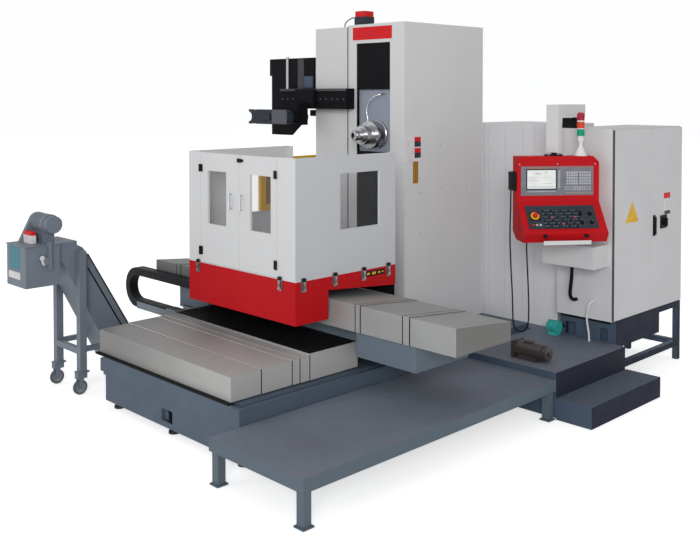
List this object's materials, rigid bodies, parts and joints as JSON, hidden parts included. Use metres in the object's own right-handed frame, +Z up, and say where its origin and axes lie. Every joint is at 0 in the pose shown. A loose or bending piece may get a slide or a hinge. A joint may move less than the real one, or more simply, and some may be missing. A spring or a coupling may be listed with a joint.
{
  "type": "cnc machining center",
  "caption": "Horizontal machining center: column with spindle head, moving table in a doored enclosure, telescopic covers, chip conveyor, walkway, cabinet and pendant.",
  "frame": {"origin": "on the floor under the middle of the bed, on the underside of its middle leveling pad", "axes": "+X along the table's cross travel toward the operator's walkway, +Y from the bed's front end toward the column, +Z up"},
  "size_m": [4.246, 4.947, 3.222],
  "materials": {
    "bed_paint": "semi-gloss",
    "pad_steel": "dull",
    "cover_steel": "brushed",
    "table_iron": "machined",
    "enclosure_paint": "semi-gloss",
    "skirt_paint": "gloss",
    "clear_pane": "polished",
    "latch_steel": "polished",
    "column_paint": "semi-gloss",
    "way_cover": "matte",
    "head_paint": "semi-gloss",
    "spindle_steel": "ground",
    "feed_motor": "semi-gloss",
    "black_rubber": "matte",
    "white_hose": "satin",
    "changer_black": "semi-gloss",
    "carrier_black": "matte",
    "tray_paint": "semi-gloss",
    "deck_paint": "semi-gloss",
    "cabinet_paint": "textured",
    "switch_black": "matte",
    "pump_brown": "dull",
    "pendant_paint": "gloss",
    "panel_slate": "matte",
    "stop_red": "gloss",
    "lamp_red": "gloss",
    "conveyor_paint": "semi-gloss",
    "gear_motor": "painted",
    "caster_tyre": "matte"
  },
  "bodies": {
    "machine": {"bed_casting": "bed_paint", "leveling_pads": "pad_steel", "z_cover_front": "cover_steel", "column_shell": "column_paint", "way_cover_fixed": "way_cover", "y_motor": "feed_motor", "y_motor_cable": "black_rubber", "atc_frame": "changer_black", "tool_magazine": "column_paint", "walkway_low": "deck_paint", "walkway_high": "deck_paint", "entry_step": "deck_paint", "cabinet_stand": "deck_paint", "cabinet_body": "cabinet_paint", "rear_cabinet": "column_paint", "drain_hose": "black_rubber", "air_hose": "white_hose", "floor_motor": "pump_brown", "conveyor_body": "conveyor_paint", "conveyor_motor": "gear_motor", "conveyor_stand": "conveyor_paint"},
    "cover_b": {"z_cover_b": "cover_steel"},
    "cover_c": {"z_cover_c": "cover_steel"},
    "saddle": {"saddle_beam": "bed_paint", "chip_pan": "cover_steel", "x_end_covers": "cover_steel", "carrier_tray": "tray_paint"},
    "table": {"table_base": "table_iron", "enclosure_walls": "enclosure_paint", "enclosure_skirt": "skirt_paint", "side_panes": "clear_pane", "toggle_latches": "latch_steel", "x_table_covers": "cover_steel", "carrier_upper": "carrier_black"},
    "mid_covers": {"x_mid_covers": "cover_steel"},
    "carrier": {"carrier_loop": "carrier_black"},
    "rotary_pallet": {"pallet": "table_iron"},
    "left_door": {"door_left": "enclosure_paint"},
    "right_door": {"door_right": "enclosure_paint"},
    "head": {"head_plate": "head_paint", "spindle_housing": "spindle_steel", "spindle_hose": "spindle_steel", "way_covers_head": "way_cover"},
    "mid_way_covers": {"way_covers_mid": "way_cover"},
    "spindle": {"spindle_nose": "spindle_steel"},
    "changer_carriage": {"atc_carriage": "changer_black"},
    "changer_arm": {"atc_arm": "changer_black"},
    "arm": {"support_arm": "cabinet_paint"},
    "pendant": {"pendant_housing": "pendant_paint", "control_panels": "panel_slate", "stack_light": "lamp_red", "mpg_cable": "black_rubber"},
    "stop_button": {"e_stop": "stop_red"},
    "feed_knob": {"override_knob": "switch_black"},
    "jog_wheel": {"handwheel": "switch_black"},
    "front_cabinet_door": {"cabinet_door_front": "cabinet_paint"},
    "rear_cabinet_door": {"cabinet_door_rear": "cabinet_paint"},
    "power_switch": {"main_switch": "switch_black"},
    "near_caster": {"caster_wheel_near": "caster_tyre"},
    "far_caster": {"caster_wheel_far": "caster_tyre"}
  },
  "joints": [
    {"name": "saddle_slide", "type": "slide", "parent": "machine", "child": "saddle", "axis": [0, 1, 0], "range_m": [-0.4, 0.35]},
    {"name": "cover_b_slide", "type": "slide", "parent": "machine", "child": "cover_b", "axis": [0, 1, 0], "range_m": [-0.1334, 0.1167]},
    {"name": "cover_c_slide", "type": "slide", "parent": "machine", "child": "cover_c", "axis": [0, 1, 0], "range_m": [-0.2667, 0.2334]},
    {"name": "table_slide", "type": "slide", "parent": "saddle", "child": "table", "axis": [1, 0, 0], "range_m": [-0.46, 0.54]},
    {"name": "mid_cover_slide", "type": "slide", "parent": "saddle", "child": "mid_covers", "axis": [1, 0, 0], "range_m": [-0.23, 0.27]},
    {"name": "carrier_slide", "type": "slide", "parent": "saddle", "child": "carrier", "axis": [1, 0, 0], "range_m": [-0.23, 0.27]},
    {"name": "pallet_turn", "type": "hinge", "parent": "table", "child": "rotary_pallet", "pos_m": [-0.064, -0.3, 1.1], "axis": [0, 0, 1], "continuous": true},
    {"name": "left_door_hinge", "type": "hinge", "parent": "table", "child": "left_door", "pos_m": [-0.568, -0.924, 1.5], "axis": [0, 0, -1], "range_deg": [0, 100]},
    {"name": "right_door_hinge", "type": "hinge", "parent": "table", "child": "right_door", "pos_m": [0.389, -0.924, 1.5], "axis": [0, 0, 1], "range_deg": [0, 100]},
    {"name": "head_slide", "type": "slide", "parent": "machine", "child": "head", "axis": [0, 0, 1], "range_m": [-0.7, 0.145]},
    {"name": "mid_way_cover_slide", "type": "slide", "parent": "machine", "child": "mid_way_covers", "axis": [0, 0, 1], "range_m": [-0.35, 0.0725]},
    {"name": "spindle_turn", "type": "hinge", "parent": "head", "child": "spindle", "pos_m": [0, 0.4, 2.105], "axis": [0, 1, 0], "continuous": true},
    {"name": "changer_slide", "type": "slide", "parent": "machine", "child": "changer_carriage", "axis": [1, 0, 0], "range_m": [0, 0.315]},
    {"name": "changer_arm_turn", "type": "hinge", "parent": "changer_carriage", "child": "changer_arm", "pos_m": [-0.79, 0.2, 2.25], "axis": [0, 1, 0], "range_deg": [0, 180]},
    {"name": "arm_swivel", "type": "hinge", "parent": "machine", "child": "arm", "pos_m": [1.29, 1.702, 2.3], "axis": [0, 0, 1], "range_deg": [-45, 2]},
    {"name": "pendant_swivel", "type": "hinge", "parent": "arm", "child": "pendant", "pos_m": [1.309, 1.342, 1.95], "axis": [0, 0, 1], "range_deg": [-45, 3]},
    {"name": "stop_press", "type": "slide", "parent": "pendant", "child": "stop_button", "axis": [-0.5869, 0.4586, -0.6672], "range_m": [0, 0.006], "stiffness_N_per_m": 900},
    {"name": "feed_knob_turn", "type": "hinge", "parent": "pendant", "child": "feed_knob", "pos_m": [1.55933, 1.33677, 1.474], "axis": [0.5869, -0.4586, 0.6672], "range_deg": [-135, 135]},
    {"name": "jog_wheel_turn", "type": "hinge", "parent": "pendant", "child": "jog_wheel", "pos_m": [1.1593, 0.98796, 1.7405], "axis": [0.788, -0.6157, 0], "continuous": true},
    {"name": "front_cabinet_door_hinge", "type": "hinge", "parent": "machine", "child": "front_cabinet_door", "pos_m": [1.695, 1.661, 1.3], "axis": [0, 0, -1], "range_deg": [0, 110]},
    {"name": "rear_cabinet_door_hinge", "type": "hinge", "parent": "machine", "child": "rear_cabinet_door", "pos_m": [1.695, 2.876, 1.3], "axis": [0, 0, 1], "range_deg": [0, 110]},
    {"name": "power_switch_turn", "type": "hinge", "parent": "rear_cabinet_door", "child": "power_switch", "pos_m": [1.695, 2.519, 1.315], "axis": [1, 0, 0], "range_deg": [0, 90]},
    {"name": "near_caster_turn", "type": "hinge", "parent": "machine", "child": "near_caster", "pos_m": [-1.284, -1.61, 0.06], "axis": [1, 0, 0], "continuous": true},
    {"name": "far_caster_turn", "type": "hinge", "parent": "machine", "child": "far_caster", "pos_m": [-1.684, -1.61, 0.06], "axis": [1, 0, 0], "continuous": true}
  ],
  "couplings": [
    {"joint": "cover_b_slide", "follows": "saddle_slide", "ratio": 0.33333},
    {"joint": "cover_c_slide", "follows": "saddle_slide", "ratio": 0.66667},
    {"joint": "mid_cover_slide", "follows": "table_slide", "ratio": 0.5},
    {"joint": "carrier_slide", "follows": "table_slide", "ratio": 0.5},
    {"joint": "mid_way_cover_slide", "follows": "head_slide", "ratio": 0.5}
  ]
}
